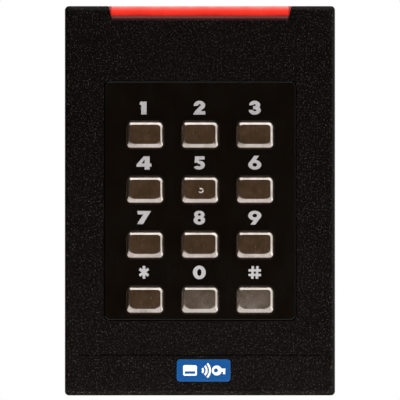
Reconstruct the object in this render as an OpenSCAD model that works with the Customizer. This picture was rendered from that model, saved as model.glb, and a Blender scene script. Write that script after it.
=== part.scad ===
// Wall-mounted access reader with a twelve-key pad, a lit bar along its top edge and a hook-on wall plate.
// The origin is the middle of the wall face, +Z is up and the front looks along -Y.
// A "depth" is a distance out from the wall, so a face at depth 10 lies at y = -10.

/* [Housing] */
// Width of the housing at the wall
body_w = 84; // [84:0.5:90]
// Height of the housing
body_h = 121; // [121:0.5:126]
// Depth of the housing's flat front face
front_depth = 26.2; // [26.2:0.1:28]
// Radius that rolls the front face into the sides
edge_r = 1.6; // [1:0.1:1.8]
// Radius of the housing's corners, seen from the front
corner_r = 1.3; // [0.8:0.1:2]
// How far each side leans in between the wall and the front
draft = 0.1; // [0:0.1:0.8]
// Thickness of the front wall
face_t = 2.4; // [2.2:0.1:2.6]
// Thickness of the side walls in front of the rear cover
side_t = 3.4; // [3.2:0.1:3.6]
// Thickness of the skirt around the wall plate
skirt_t = 1.9; // [1.7:0.1:2]

/* [Light bar] */
// Width of the light bar along the top edge
bar_w = 57; // [50:0.5:60]
// Height of the light bar on the front face
bar_h = 3.1; // [2.8:0.1:3.2]
// How far the light bar reaches back over the top
bar_reach = 10; // [6:0.5:11]

/* [Keypad] */
// Width of the smooth key panel
panel_w = 59.8; // [58:0.2:61]
// Height of the smooth key panel
panel_h = 74.5; // [74:0.1:75]
// Distance between key centres, both ways
key_pitch = 17.05; // [16.8:0.05:17.2]
// Height of the top row of keys above the middle of the panel
top_row_z = 20.4; // [20:0.1:20.8]
// Width of a key
key_w = 11.2; // [10:0.1:12]
// Height of a key
key_h = 8; // [7:0.1:8.2]
// How far a key stands out of the front face
key_proud = 1.8; // [1.4:0.1:2]
// How far a key travels when it is pressed
key_travel = 1; // [0.6:0.1:1]

/* [Badge and groove] */
// Width of the badge
badge_w = 16.7; // [14:0.1:20]
// Height of the badge
badge_h = 6.9; // [5:0.1:8]
// Distance of the badge's middle to the right of the housing's middle
badge_x = 1.1; // [-2:0.1:2]
// Length of the groove above the badge
groove_w = 75.3; // [60:0.1:76]

/* [Wall plate] */
// Thickness of the wall plate's sheet
plate_t = 1.5; // [1.2:0.1:1.6]
// Distance between the two upright box screws
gang_spacing = 83.3; // [83.3]
// Distance between the two slots for a round box
round_box_spacing = 60; // [60]
// Radius of every wall screw hole
wall_hole_r = 2.1; // [1.8:0.1:2.3]

/* [Hidden] */

KEY_NAMES = ["1", "2", "3", "4", "5", "6", "7", "8", "9", "star", "0", "hash"];
PIP_KEY = 4;    // position in KEY_NAMES of the key with a raised pip

eps = 0.01;
gap = 0.15;     // all round a piece that is let into the housing

// Depths from the wall, back to front
housing_back = 0.4;
cover_back = 7.6;
cover_t = 2;
cover_front = cover_back + cover_t;
gasket_t = 0.8;
ledge_depth = cover_front + gasket_t;
board_t = 1.6;
main_back = 13;
main_front = main_back + board_t;
bezel_front = front_depth - 0.2;
bezel_t = 1.6;
bezel_back = bezel_front - bezel_t;
seal_t = 0.4;
shelf_front = bezel_back - seal_t;
shelf_t = 1.6;
shelf_back = shelf_front - shelf_t;
face_back = front_depth - face_t;
pad_front = shelf_back - 2.3;
pad_back = pad_front - board_t;
slack = 0.05;   // between a key, the bezel and the keymat at rest
flange_front = bezel_back - slack;
flange_t = 0.95;
flange_back = flange_front - flange_t;
mat_t = 0.8;
mat_front = pad_front + mat_t;
dome_top = flange_back - slack;
pill_t = 0.5;
pill_back = pad_front + key_travel + slack;
pill_front = pill_back + pill_t;
key_front = front_depth + key_proud;

// Half sizes of the two hollows in the housing
cavity_x = body_w/2 - side_t;
cavity_z = body_h/2 - side_t;
skirt_x = body_w/2 - skirt_t;
skirt_z = body_h/2 - skirt_t;

// The opening behind the bezel, and the shelf that the bezel rests on
window_w = panel_w - 4;
window_h = panel_h - 2.6;
shelf_w = panel_w + 5;
shelf_h = panel_h + 6;

// Screws and the posts that hold the boards
boss_x = cavity_x - 2;
boss_z = cavity_z - 2;
boss_r = 2.8;
post_x = 31.5;
post_z = 44;
post_r = 2.4;
board_x = 35.5;
board_z = 50;
tongue_x = 29;
tongue_z = 53.8;

// Light bar
bar_z = body_h/2 - bar_h;
bar_back = front_depth - bar_reach;
bar_lean = 0.8;         // each end leans in by this much towards its lower edge
bar_floor = bar_z - 1.5;
leg_x = 23.8;
leg_back = pad_front - 0.2;
leg_front = pad_front + 1.8;
led_count = 5;
led_pitch = 10;

// Antenna winding
coil_x = boss_x + 0.2;
coil_z = boss_z + 0.4;
coil_w = 2.6;
coil_corner = 9;
coil_back = face_back - 1.7;
coil_front = face_back - 0.1;

// Groove, badge and security screw
groove_z = -47.8;
groove_h = 0.45;
groove_t = 0.5;
badge_z = -52.6;
badge_t = 0.6;
badge_sink = 0.45;
lock_depth = 4.4;
lock_r = 1.7;
lock_head_r = 3.3;

// Wall plate
plate_x = skirt_x - 1.7;
plate_z = skirt_z - 3.2;
plate_gap_x = 23;
plate_gap_z = 33;
tab_x = 6;
tab_z = -plate_z - 1.5;
hook_x = 20;
hook_w = 10;
hook_depth = 5.4;
corner_hole_x = 33;
corner_hole_z = 48;
slot_length = 8;

// Terminal block
terminal_count = 10;
terminal_pitch = 3.5;
terminal_w = 37;
terminal_h = 8;
terminal_z = -22;
terminal_back = 3.6;
port_back = 4.4;
port_front = 7;

// Sensor that watches the wall plate
sensor_x = 8;
sensor_z = 37;

// A point of the key grid: column 0 to 2 from the left, row 0 to 3 from the top
function key_x(i) = (i % 3 - 1)*key_pitch;
function key_z(i) = top_row_z - floor(i/3)*key_pitch;

// Outline of a rectangle with rounded corners, centred on the origin
function rounded_points(w, h, r, steps = 6) = [
    for (c = [0:3], s = [0:steps])
        let (a = 90*c + 90*s/steps,
             sx = (c == 0 || c == 3) ? 1 : -1,
             sz = (c < 2) ? 1 : -1)
        [sx*(w/2 - r) + r*cos(a), sz*(h/2 - r) + r*sin(a)]];

module rounded_rect(w, h, r, steps = 6) {
    polygon(rounded_points(w, h, r, steps));
}

// Extrudes an outline drawn in X and Z between two depths
module between(d0, d1) {
    translate([0, -d0, 0])
        rotate([90, 0, 0])
            linear_extrude(d1 - d0)
                children();
}

// A rounded slab between two depths
module slab(w, h, r, d0, d1, steps = 6) {
    between(d0, d1) rounded_rect(w, h, r, steps);
}

// A plain block between two depths, given its middle in X and Z
module block(x, z, w, h, d0, d1) {
    translate([x - w/2, -d1, z - h/2]) cube([w, d1 - d0, h]);
}

// A round rod between two depths
module rod(x, z, r, d0, d1, r1 = -1) {
    translate([x, -d0, z])
        rotate([90, 0, 0])
            cylinder(h = d1 - d0, r1 = r, r2 = r1 < 0 ? r : r1, $fn = 48);
}

// Places children at the four corners (x, z), (-x, z) and so on
module at_corners(x, z) {
    for (sx = [-1, 1], sz = [-1, 1]) translate([sx*x, 0, sz*z]) children();
}

// The outer shape of housing and light bar: drafted sides that roll into a flat front
module outer_form() {
    steps = 6;
    hull() {
        slab(body_w, body_h, corner_r, housing_back, ledge_depth);
        for (s = [0:steps]) {
            a = 90*s/steps;
            inset = draft + edge_r*(1 - cos(a));
            d = front_depth - edge_r + edge_r*sin(a);
            slab(body_w - 2*inset, body_h - 2*inset, corner_r, d - eps, d);
        }
    }
}

// Outline of the light bar seen from the front, grown by an allowance on its ends and lower edge
module bar_outline(grow = 0) {
    half = bar_w/2 + grow;
    polygon([
        [-half + bar_lean, bar_z - grow],
        [half - bar_lean, bar_z - grow],
        [half, body_h/2 + 1],
        [-half, body_h/2 + 1]]);
}

module housing_hollows() {
    slab(2*skirt_x, 2*skirt_z, 1, housing_back - 1, ledge_depth);
    slab(2*cavity_x, 2*cavity_z, 1, ledge_depth - 1, face_back);
}

// Posts, bosses and thickened walls inside the housing
module housing_inside() {
    at_corners(boss_x, boss_z) rod(0, 0, boss_r, ledge_depth, face_back + 1);
    at_corners(post_x, post_z) rod(0, 0, post_r, pad_front, face_back + 1);
    slab(shelf_w, shelf_h, 2, shelf_back, face_back + 1);
    // floor under the light bar
    block(0, (bar_floor + cavity_z + 1)/2, bar_w + 5, cavity_z + 1 - bar_floor, bar_back - 1, face_back + 1);
    // pad behind the security screw's head
    block(0, -skirt_z + 0.2, 9, 2.4, 0.6, cover_back - 0.1);
    // ribs that the wall plate's hooks catch
    for (s = [-1, 1]) block(s*hook_x, skirt_z - 0.85, 12, 3.7, 2.1, 3.6);
}

module front_housing() {
    color([0.06, 0.055, 0.05])
    difference() {
        union() {
            difference() {
                outer_form();
                housing_hollows();
            }
            housing_inside();
        }
        // seat and window of the key panel
        slab(panel_w, panel_h, 1.3, shelf_front, front_depth + 1);
        slab(window_w, window_h, 1, shelf_back - 1, shelf_front + 1);
        // seat and light slot of the light bar
        between(bar_back - gap, front_depth + 1) bar_outline(gap);
        block(0, bar_z - 1, 2*leg_x + 2*gap, 6, leg_back - gap, leg_front + gap);
        // groove and badge seat
        block(0, groove_z, groove_w, groove_h, front_depth - groove_t, front_depth + 1);
        translate([badge_x, 0, badge_z])
            slab(badge_w + 2*gap, badge_h + 2*gap, 1.1, front_depth - badge_sink, front_depth + 1);
        // pilot holes
        at_corners(boss_x, boss_z) rod(0, 0, 1.1, ledge_depth - 1, ledge_depth + 9);
        at_corners(post_x, post_z) rod(0, 0, 1.2, pad_front - 1, pad_front + 2.7);
        // hole and countersink of the security screw
        translate([0, -lock_depth, -body_h/2 - 1])
            cylinder(h = 6, r = lock_r + 0.25, $fn = 48);
        translate([0, -lock_depth, -body_h/2 - eps])
            cylinder(h = lock_head_r - lock_r + 0.1, r1 = lock_head_r + 0.1, r2 = lock_r, $fn = 48);
    }
}

module light_bar() {
    color([0.95, 0.12, 0.08]) {
        intersection() {
            outer_form();
            between(bar_back, front_depth + 1) bar_outline();
        }
        block(0, (bar_z + tongue_z + 0.2)/2, 2*leg_x, bar_z - tongue_z - 0.2, leg_back, leg_front);
    }
}

module keypad_bezel() {
    color([0.03, 0.03, 0.03])
    difference() {
        slab(panel_w - 0.2, panel_h - 0.2, 1.2, bezel_back, bezel_front);
        for (i = [0:11]) translate([key_x(i), 0, key_z(i)])
            slab(key_w + 0.6, key_h + 0.6, 1.9, bezel_back - 1, bezel_front + 1);
    }
}

module bezel_seal() {
    color([0.15, 0.15, 0.16])
    difference() {
        slab(panel_w - 0.4, panel_h - 0.4, 1.1, shelf_front, bezel_back);
        slab(window_w + 0.2, window_h + 0.2, 1, shelf_front - 1, bezel_back + 1);
    }
}

module badge() {
    color([0.03, 0.25, 0.55])
    translate([badge_x, 0, badge_z])
        slab(badge_w, badge_h, 1, front_depth - badge_sink, front_depth - badge_sink + badge_t);
}

// One silicone sheet with a collapsing dome under each key and a sealing rib round its edge
module keymat() {
    color([0.28, 0.28, 0.3])
    difference() {
        union() {
            slab(panel_w + 1, panel_h + 2.4, 2, pad_front, mat_front);
            difference() {
                slab(panel_w + 1, panel_h + 2.4, 2, mat_front, shelf_back);
                slab(window_w + 1.4, window_h + 1.4, 1, mat_front - 1, shelf_back + 1);
            }
            for (i = [0:11]) rod(key_x(i), key_z(i), 4.2, mat_front - 0.1, dome_top, 3);
        }
        for (i = [0:11]) rod(key_x(i), key_z(i), 3.6, pad_front - eps, pill_front, 2.3);
    }
}

// A plated metal key: a pillow-shaped cap over the flange that holds it behind the bezel
module key(i) {
    r = 1.3;
    shoulder = key_front - 0.2 - r;
    steps = 6;
    color([0.55, 0.52, 0.48])
    translate([key_x(i), 0, key_z(i)]) {
        hull() {
            slab(key_w, key_h, 1.7, flange_front - eps, shoulder);
            for (s = [1:steps]) {
                a = 90*s/steps;
                inset = r*(1 - cos(a));
                d = shoulder + r*sin(a);
                slab(key_w - 2*inset, key_h - 2*inset, 1.7, d - eps, d);
            }
            slab(key_w - 4.4, key_h - 4.4, 1.7, key_front - eps, key_front);
        }
        slab(key_w + 1.2, key_h + 1.2, 2.1, flange_back, flange_front);
        if (i == PIP_KEY) rod(0, 0, 0.75, key_front - 0.5, key_front + 0.25, 0.4);
    }
}

// The conductive disc inside the dome that a key pushes onto the board
module contact_pill(i) {
    color([0.1, 0.1, 0.1]) rod(key_x(i), key_z(i), 1.9, pill_back, pill_front);
}

module antenna_coil() {
    color([0.72, 0.4, 0.2])
    difference() {
        slab(2*coil_x, 2*coil_z, coil_corner, coil_back, coil_front, 12);
        slab(2*(coil_x - coil_w), 2*(coil_z - coil_w), coil_corner - coil_w, coil_back - 1, coil_front + 1, 12);
    }
}

module board_holes(d0, d1) {
    at_corners(post_x, post_z) rod(0, 0, 1.4, d0 - 1, d1 + 1);
}

module keypad_board() {
    color([0.05, 0.3, 0.16])
    difference() {
        union() {
            slab(2*board_x, 2*board_z, 1.5, pad_back, pad_front);
            block(0, (board_z + tongue_z)/2 - 1, 2*tongue_x, tongue_z - board_z + 2, pad_back, pad_front);
        }
        board_holes(pad_back, pad_front);
    }
}

module status_leds() {
    color([0.95, 0.9, 0.8])
    for (n = [0:led_count - 1])
        block((n - (led_count - 1)/2)*led_pitch, tongue_z - 1, 3, 1.6, pad_front, pad_front + 1.4);
}

module main_board() {
    color([0.05, 0.3, 0.16])
    difference() {
        slab(2*board_x, 2*board_z, 1.5, main_back, main_front);
        board_holes(main_back, main_front);
    }
}

// Hexagonal spacers between the boards, each with a stud that holds the keypad board on its post
module standoffs() {
    color([0.8, 0.66, 0.3])
    at_corners(post_x, post_z)
    difference() {
        union() {
            translate([0, -main_front, 0])
                rotate([90, 0, 0])
                    cylinder(h = pad_back - main_front, r = 2.85, $fn = 6);
            rod(0, 0, 1.15, pad_back - eps, pad_front + 2.4);
        }
        rod(0, 0, 1.1, main_front - 1, pad_back - 0.8);
    }
}

// A pan-headed screw with a cross recess, its head towards the wall
module pan_screw(head_r, head_t, shank_r, head_front, tip) {
    difference() {
        union() {
            rod(0, 0, head_r*0.75, head_front - head_t, head_front - head_t + 0.5, head_r);
            rod(0, 0, head_r, head_front - head_t + 0.5, head_front);
            rod(0, 0, shank_r, head_front - eps, tip);
        }
        for (w = [[0.5, head_r], [head_r, 0.5]])
            block(0, 0, w[0], w[1], head_front - head_t - 1, head_front - head_t*0.4);
    }
}

module board_screws() {
    color([0.75, 0.75, 0.77])
    at_corners(post_x, post_z) pan_screw(2.2, 1.6, 1.05, main_back, pad_back - 1.2);
}

module board_connector() {
    color([0.08, 0.08, 0.08])
    difference() {
        block(0, -41, 20, 5, main_front, pad_back);
        for (s = [-1, 1]) block(0, -41 + 2.6*s, 14, 1, main_front + 1, pad_back - 1);
    }
}

// A flat chip with short leads along two or four sides
module chip(x, z, w, h, t, leads, four_sides) {
    back = main_back - t;
    pitch = w/(leads + 1);
    color([0.07, 0.07, 0.08]) block(x, z, w, h, back, main_back - 0.1);
    color([0.8, 0.8, 0.82])
    for (n = [1:leads]) {
        off = (n - (leads + 1)/2)*pitch;
        block(x + off, z, pitch*0.45, h + 1.6, main_back - 0.3, main_back);
        if (four_sides) block(x, z + off, w + 1.6, pitch*0.45, main_back - 0.3, main_back);
    }
}

module microcontroller() {
    chip(-15, 15, 10, 10, 1.4, 10, true);
}

module reader_chip() {
    chip(4, 17, 6, 6, 0.9, 6, true);
}

module voltage_regulator() {
    chip(-6, -6, 6.6, 6.1, 2.3, 3, false);
}

module crystal() {
    color([0.78, 0.78, 0.8]) slabbed_can(14, 22, 5, 3.2, 1.2);
}

// A small metal or plastic can that stands on the main board
module slabbed_can(x, z, w, h, t) {
    translate([x, 0, z]) slab(w, h, 0.5, main_back - t, main_back, 3);
}

module sounder() {
    color([0.09, 0.09, 0.09])
    difference() {
        slabbed_can(23, 0, 9, 9, 2.8);
        rod(23, 0, 1.2, main_back - 3.5, main_back - 1.8);
    }
}

module tamper_sensor() {
    color([0.12, 0.12, 0.13])
    difference() {
        slabbed_can(sensor_x, sensor_z, 4.2, 3, 1.6);
        for (s = [-1, 1]) rod(sensor_x + s, sensor_z, 0.6, main_back - 2, main_back - 1);
    }
}

module capacitors() {
    color([0.75, 0.55, 0.2])
    for (z = [-2, -9, -16]) slabbed_can(-27, z, 7.3, 4.3, 2.8);
}

module terminal_block() {
    first = -(terminal_count - 1)/2;
    color([0.1, 0.42, 0.2])
    difference() {
        block(0, terminal_z, terminal_w, terminal_h, terminal_back, main_back);
        for (n = [0:terminal_count - 1]) {
            x = (first + n)*terminal_pitch;
            // wire port on the lower side
            block(x, terminal_z - terminal_h/2 + 2, 2.5, 6, port_back, port_front);
            // screw well on the side towards the wall
            rod(x, terminal_z + 0.2, 1.35, terminal_back - 1, port_front - 1);
        }
    }
}

module terminal_screws() {
    first = -(terminal_count - 1)/2;
    color([0.75, 0.75, 0.77])
    for (n = [0:terminal_count - 1])
        translate([(first + n)*terminal_pitch, 0, terminal_z + 0.2])
        difference() {
            rod(0, 0, 1.25, terminal_back + 0.4, port_front - 1.2);
            block(0, 0, 0.5, 4, terminal_back - 1, terminal_back + 0.9);
        }
}

module terminal_seal() {
    color([0.2, 0.2, 0.21])
    difference() {
        translate([0, 0, terminal_z]) slab(terminal_w + 6, terminal_h + 6, 1.5, cover_front, main_back);
        block(0, terminal_z, terminal_w, terminal_h, cover_front - 1, main_back + 1);
    }
}

module rear_cover() {
    color([0.1, 0.1, 0.1])
    difference() {
        union() {
            slab(2*skirt_x - 0.4, 2*skirt_z - 0.4, 0.9, cover_back, cover_front);
            // rim round the terminal opening
            translate([0, 0, terminal_z]) slab(terminal_w + 4, terminal_h + 4, 1.5, cover_back - 0.8, cover_back + 1);
        }
        block(0, terminal_z, terminal_w + 0.6, terminal_h + 0.6, cover_back - 2, cover_front + 1);
        at_corners(boss_x, boss_z) rod(0, 0, 1.4, cover_back - 1, cover_front + 1);
        rod(sensor_x, sensor_z, 2, cover_back - 1, cover_front + 1);
        rod(sensor_x, sensor_z, 3, cover_back - 1, cover_back + 0.8);
    }
}

module cover_gasket() {
    color([0.22, 0.22, 0.24])
    difference() {
        union() {
            difference() {
                slab(2*skirt_x - 0.4, 2*skirt_z - 0.4, 0.9, cover_front, ledge_depth);
                slab(2*cavity_x - 1, 2*cavity_z - 1, 1, cover_front - 1, ledge_depth + 1);
            }
            at_corners(boss_x, boss_z) rod(0, 0, boss_r, cover_front, ledge_depth);
        }
        at_corners(boss_x, boss_z) rod(0, 0, 1.5, cover_front - 1, ledge_depth + 1);
    }
}

module sensor_window() {
    color([0.25, 0.25, 0.3]) {
        rod(sensor_x, sensor_z, 2.9, cover_back, cover_back + 0.8);
        rod(sensor_x, sensor_z, 1.95, cover_back + 0.8 - eps, cover_front);
    }
}

module cover_screws() {
    color([0.75, 0.75, 0.77])
    at_corners(boss_x, boss_z) pan_screw(2.5, 1.7, 1.05, cover_back, ledge_depth + 7);
}

// Sheet-metal plate with hooks at its top and a tapped tab at its bottom
module mounting_plate() {
    color([0.7, 0.71, 0.72])
    difference() {
        union() {
            slab(2*plate_x, 2*plate_z, 3, 0, plate_t);
            // hooks: an arm out of the sheet and an upturned lip
            for (s = [-1, 1]) {
                block(s*hook_x, plate_z - 0.75, hook_w, 1.5, eps, hook_depth);
                block(s*hook_x, plate_z + 0.35, hook_w, 3.7, hook_depth - 1.5, hook_depth);
            }
            // tab with its drawn collar
            block(0, tab_z + 0.75, 2*tab_x, 1.5, 0, cover_back - 0.4);
            block(0, tab_z + 1.5, 2*tab_x, 3, 0, plate_t);
            translate([0, -lock_depth, tab_z + 1]) cylinder(h = 2.5, r = 2.6, $fn = 48);
        }
        slab(2*plate_gap_x, 2*plate_gap_z, 3, -1, plate_t + 1);
        for (s = [-1, 1]) {
            rod(0, s*gang_spacing/2, wall_hole_r, -1, plate_t + 1);
            translate([s*round_box_spacing/2, 0, 0]) slot(slot_length, wall_hole_r, -1, plate_t + 1);
        }
        at_corners(corner_hole_x, corner_hole_z) rod(0, 0, wall_hole_r, -1, plate_t + 1);
        translate([0, -lock_depth, tab_z - 1]) cylinder(h = 6, r = lock_r + 0.05, $fn = 48);
    }
}

// A slot along X with round ends
module slot(length, r, d0, d1) {
    for (s = [-1, 1]) rod(s*(length/2 - r), 0, r, d0, d1);
    block(0, 0, length - 2*r, 2*r, d0, d1);
}

// Countersunk screw through the housing's lower side into the wall plate's tab
module security_screw() {
    head = lock_head_r - lock_r;
    color([0.55, 0.55, 0.57])
    translate([0, -lock_depth, -body_h/2])
    difference() {
        union() {
            cylinder(h = head, r1 = lock_head_r, r2 = lock_r, $fn = 48);
            translate([0, 0, head - eps]) cylinder(h = 9.5 - head, r = lock_r, $fn = 48);
        }
        // six-sided recess with a tamper pin left standing
        translate([0, 0, -1])
        difference() {
            cylinder(h = 2.4, r = 1.25, $fn = 6);
            cylinder(h = 3, r = 0.45, $fn = 24);
        }
    }
}

front_housing();
light_bar();
keypad_bezel();
bezel_seal();
badge();
keymat();
for (i = [0:11]) {
    key(i);
    contact_pill(i);
}
antenna_coil();
keypad_board();
status_leds();
standoffs();
board_connector();
main_board();
microcontroller();
reader_chip();
crystal();
sounder();
tamper_sensor();
capacitors();
voltage_regulator();
board_screws();
terminal_block();
terminal_screws();
terminal_seal();
rear_cover();
cover_gasket();
sensor_window();
cover_screws();
mounting_plate();
security_screw();
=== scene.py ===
"""Looks for the keypad access reader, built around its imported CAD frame.

Helpers take millimetres as (x, depth, z): x to the right, depth out from the wall, z up.
A point at depth d lies at y = -d, and every finished mesh is in metres in the CAD frame.
"""

import math

import bmesh
import bpy
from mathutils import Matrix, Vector
from mathutils.geometry import tessellate_polygon


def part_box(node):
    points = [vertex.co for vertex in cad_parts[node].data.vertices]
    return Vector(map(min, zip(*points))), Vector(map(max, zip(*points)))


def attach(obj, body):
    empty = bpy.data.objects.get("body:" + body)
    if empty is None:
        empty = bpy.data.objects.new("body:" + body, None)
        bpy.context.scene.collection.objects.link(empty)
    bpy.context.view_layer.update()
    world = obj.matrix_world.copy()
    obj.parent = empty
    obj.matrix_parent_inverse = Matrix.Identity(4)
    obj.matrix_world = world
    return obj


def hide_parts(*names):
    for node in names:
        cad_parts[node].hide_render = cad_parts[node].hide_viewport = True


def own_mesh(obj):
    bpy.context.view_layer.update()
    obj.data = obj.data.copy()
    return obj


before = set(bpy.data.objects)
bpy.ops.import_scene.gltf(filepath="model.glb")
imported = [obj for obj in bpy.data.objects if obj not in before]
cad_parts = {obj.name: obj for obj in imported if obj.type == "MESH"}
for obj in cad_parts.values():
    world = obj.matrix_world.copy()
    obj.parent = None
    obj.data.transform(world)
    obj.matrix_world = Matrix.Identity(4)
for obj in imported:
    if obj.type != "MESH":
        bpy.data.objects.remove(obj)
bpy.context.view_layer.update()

MM = 0.001
READER = "reader"
KEYS = ("1", "2", "3", "4", "5", "6", "7", "8", "9", "star", "0", "hash")
# these keys get a paler copy of the key metal, a painted reflection of the brighter part of the room
# their faces mirror
SHEEN_PAINTED_KEYS = ("0", "hash")


def place(x, depth, z):
    """A point in metres, in the CAD frame."""
    return Vector((x * MM, -depth * MM, z * MM))


def cad_mm(node):
    """Lowest and highest x, depth and z of a CAD node, in millimetres."""
    lo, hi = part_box(node)
    return (lo.x / MM, -hi.y / MM, lo.z / MM), (hi.x / MM, -lo.y / MM, hi.z / MM)


# ---------------------------------------------------------------- materials


class Shade:
    """A node material with a Principled shader, and short ways to wire it."""

    def __init__(self, name, **settings):
        self.material = bpy.data.materials.new(name)
        self.material.use_nodes = True
        self.tree = self.material.node_tree
        self.shader = self.tree.nodes["Principled BSDF"]
        for key, value in settings.items():
            self.shader.inputs[key.replace("_", " ")].default_value = value
        self.coord = self.tree.nodes.new("ShaderNodeTexCoord").outputs["Object"]

    def node(self, kind, inputs=None, **attributes):
        made = self.tree.nodes.new("ShaderNode" + kind)
        for key, value in attributes.items():
            setattr(made, key, value)
        for key, value in (inputs or {}).items():
            socket = made.inputs[key]
            if isinstance(value, bpy.types.NodeSocket):
                self.tree.links.new(value, socket)
            else:
                socket.default_value = value
        return made

    def link(self, source, target):
        self.tree.links.new(source, self.shader.inputs[target])

    def stretched(self, scale):
        """Object coordinates in millimetres, multiplied by a factor on each axis."""
        factors = [s / MM for s in scale]
        return self.node("Mapping", {"Vector": self.coord, "Scale": factors}).outputs[0]

    def noise(self, size_mm, detail=3.0, roughness=0.55, stretch=(1, 1, 1)):
        """Noise whose features are about size_mm across."""
        vector = self.stretched([s / size_mm for s in stretch])
        return self.node(
            "TexNoise",
            {"Vector": vector, "Scale": 1.0, "Detail": detail, "Roughness": roughness},
        ).outputs["Fac"]

    def cells(self, size_mm, feature="F1", output="Distance"):
        """Cells about size_mm across."""
        inputs = {"Vector": self.stretched([1 / size_mm] * 3), "Scale": 1.0}
        return self.node("TexVoronoi", inputs, feature=feature).outputs[output]

    def axis(self, name):
        """One object coordinate, in metres."""
        return self.node("SeparateXYZ", {0: self.coord}).outputs[name]

    def span(self, value, low, high, to_low=0.0, to_high=1.0):
        """Maps low to high onto to_low to to_high, and clamps the ends."""
        inputs = {0: value, 1: low, 2: high, 3: to_low, 4: to_high}
        return self.node("MapRange", inputs).outputs[0]

    def math(self, operation, a, b=0.0):
        return self.node("Math", {0: a, 1: b}, operation=operation).outputs[0]

    def mix(self, a, share, b):
        """A share of a, and the rest from b."""
        rest = self.math("MULTIPLY", b, 1 - share)
        return self.math("ADD", self.math("MULTIPLY", a, share), rest)

    def beyond(self, centre, half):
        """How far a point lies outside an upright rectangle, in metres: negative inside it."""
        across = self.math("ABSOLUTE", self.math("SUBTRACT", self.axis("X"), centre[0] * MM))
        upward = self.math("ABSOLUTE", self.math("SUBTRACT", self.axis("Z"), centre[1] * MM))
        across = self.math("SUBTRACT", across, half[0] * MM)
        upward = self.math("SUBTRACT", upward, half[1] * MM)
        return self.math("MAXIMUM", across, upward)

    def ramp(self, factor, stops):
        """Colours by position along a factor."""
        made = self.node("ValToRGB", {0: factor})
        elements = made.color_ramp.elements
        while len(elements) < len(stops):
            elements.new(0.5)
        for element, (position, color) in zip(elements, stops):
            element.position = position
            element.color = (*color, 1)
        return made.outputs[0]

    def blend(self, factor, a, b, mode="MIX"):
        """Goes from a to b as the factor rises. A colour is a tuple or an output of another node."""
        made = self.node("Mix", data_type="RGBA", blend_type=mode)
        for index, value in ((0, factor), (6, a), (7, b)):
            if isinstance(value, bpy.types.NodeSocket):
                self.tree.links.new(value, made.inputs[index])
            else:
                is_color = isinstance(value, tuple)
                made.inputs[index].default_value = (*value, 1) if is_color else value
        return made.outputs[2]

    def bump(self, *layers):
        """Layers of (height, strength, depth in millimetres), one upon the other."""
        normal = None
        for height, strength, depth in layers:
            inputs = {"Height": height, "Strength": strength, "Distance": depth * MM}
            if normal:
                inputs["Normal"] = normal
            normal = self.node("Bump", inputs).outputs[0]
        self.link(normal, "Normal")


def grained_plastic(name, dark, light, cell_mm, relief, rough, specular, glint_gain, spill=None):
    """Moulded plastic with a spark-eroded grain, with pale flecks that are painted glints, a given factor
    times as pale as the light tone.
    """
    s = Shade(name, Specular_IOR_Level=specular)
    cloud = s.noise(7.0, 4)
    fine = s.noise(cell_mm * 0.55, 2)
    pits = s.cells(cell_mm, "SMOOTH_F1")
    base = s.ramp(s.mix(cloud, 0.45, fine), [(0.3, dark), (0.62, light)])
    # painted glints: pale flecks in the base colour stand in for sparkle of light off the grain
    glint_flecks = s.span(s.noise(cell_mm, 1), 0.6, 0.7, 0, 0.9)
    s.link(s.blend(glint_flecks, base, tuple(glint_gain * c for c in light)), "Base Color")
    s.link(s.span(s.noise(cell_mm * 1.7, 3), 0.3, 0.7, rough - 0.09, rough + 0.1), "Roughness")
    s.bump((pits, 0.9, relief), (fine, 0.8, relief * 0.7))
    if spill:
        spill_red(s, *spill)
    return s.material


def spill_red(s, edge_z, half_x):
    """Red light from the bar that leaks over the edge of the plastic right below it."""
    reach = 1.6 * MM
    drop = s.span(s.math("SUBTRACT", edge_z * MM, s.axis("Z")), 0, reach)
    stops = [
        (0.0, (0.12, 0.012, 0.008)),
        (0.12, (0.2, 0.05, 0.042)),
        (0.28, (0.18, 0.047, 0.04)),
        (0.46, (0.055, 0.01, 0.012)),
        (0.7, (0.02, 0.004, 0.008)),
        (1.0, (0, 0, 0)),
    ]
    glow = s.ramp(drop, stops)
    along = s.span(s.math("ABSOLUTE", s.axis("X")), (half_x - 0.5) * MM, half_x * MM, 1, 0)
    face, inside = -25.8 * MM, -25.2 * MM
    front = s.span(s.axis("Y"), face, inside, 1, 0)
    below = s.math("LESS_THAN", s.axis("Z"), (edge_z + 0.02) * MM)
    mask = s.math("MULTIPLY", s.math("MULTIPLY", along, front), below)
    s.link(s.blend(mask, (0.0, 0.0, 0.0), glow), "Emission Color")
    s.shader.inputs["Emission Strength"].default_value = 1.0


def satin_plastic(name, dark, light, rough, specular):
    """Smooth moulded plastic with faint flow marks and handling haze."""
    s = Shade(name, Specular_IOR_Level=specular)
    s.link(s.ramp(s.noise(9.0, 4), [(0.35, dark), (0.65, light)]), "Base Color")
    haze_and_sheen = s.noise(4.0, 5, 0.6, (1, 1, 0.35))
    s.link(s.span(haze_and_sheen, 0.3, 0.7, rough - 0.05, rough + 0.07), "Roughness")
    s.bump((s.noise(0.35, 2), 0.35, 0.01), (s.noise(14.0, 1), 0.25, 0.05))
    return s.material


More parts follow.
